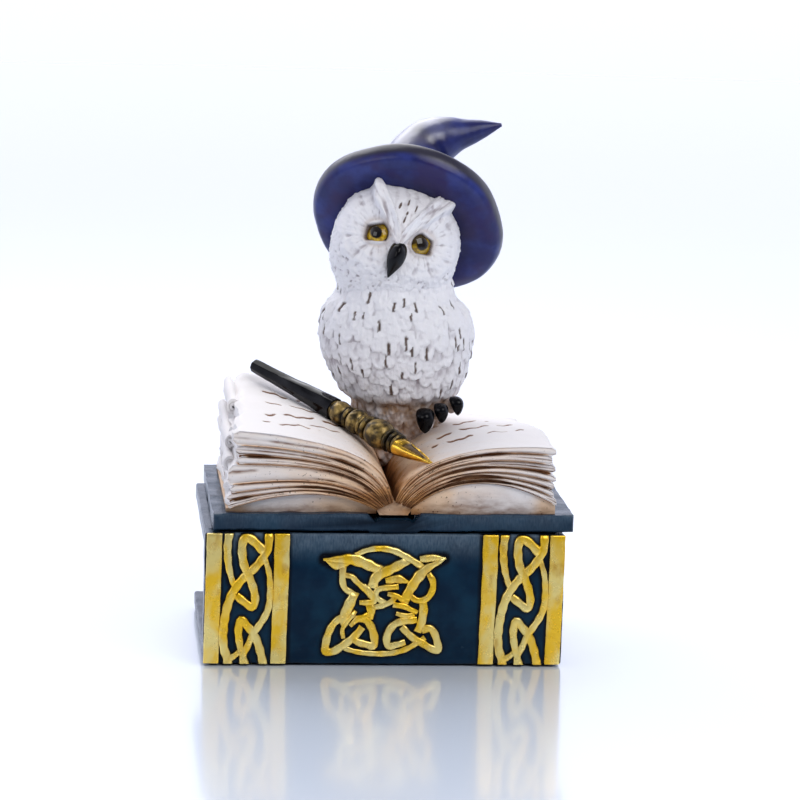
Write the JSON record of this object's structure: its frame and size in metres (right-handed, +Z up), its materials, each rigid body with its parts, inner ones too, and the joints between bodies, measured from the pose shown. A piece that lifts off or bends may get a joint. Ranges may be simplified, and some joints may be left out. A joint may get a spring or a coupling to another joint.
{
  "type": "owl figurine keepsake box",
  "caption": "White owl in a wizard hat standing on an open book that lifts off as the lid of a hollow closed book with gilt knotwork, a dip pen lying across the pages.",
  "frame": {"origin": "centre of the underside of the felt pad below the closed book", "axes": "+Z up, the way the lid lifts; -Y is the front, where the closed book shows its gilt spine and where the owl faces; +X is the viewer's right when facing the front"},
  "size_m": [0.1149, 0.0829, 0.165],
  "materials": {
    "navy_paint": "dark navy paint on cast resin, semi-gloss varnish",
    "cream_pages": "cream paint on cast resin with brown wash in the grooves",
    "white_pages": "off-white paint on cast resin, tan wash towards the gutter",
    "felt": "thin black felt",
    "gilt": "gold paint on raised relief",
    "owl_white": "white paint on cast resin, dark dry-brushed feather marks",
    "gloss_black": "gloss black paint",
    "amber_eye": "domed amber eye with a black pupil under clear gloss",
    "hat_paint": "dark blue-violet paint with brush streaks, semi-gloss",
    "gold_paint": "bright gold paint",
    "bronze_paint": "antique bronze paint, worn on the high spots"
  },
  "bodies": {
    "box": {"closed_book_cover": "navy_paint", "closed_book_pages": "cream_pages", "base_felt": "felt", "spine_band_outer_left": "gilt", "spine_band_inner_left": "gilt", "spine_band_inner_right": "gilt", "spine_band_outer_right": "gilt", "knot_panel_left": "gilt", "knot_panel_right": "gilt", "knot_medallion": "gilt"},
    "lid": {"open_book_cover": "navy_paint", "lid_locating_plug": "navy_paint", "sewn_back": "cream_pages", "leaves_left": "white_pages", "leaves_right": "white_pages", "owl_body": "owl_white", "owl_beak": "gloss_black", "owl_eye_left": "amber_eye", "owl_eye_right": "amber_eye", "owl_talons_left": "gloss_black", "owl_talons_right": "gloss_black", "wizard_hat": "hat_paint", "pen_nib": "gold_paint", "pen_grip": "bronze_paint", "pen_barrel": "gloss_black"}
  },
  "joints": [
    {"name": "lid_lift", "type": "slide", "parent": "box", "child": "lid", "axis": [0, 0, 1], "range_m": [0, 0.06]}
  ]
}
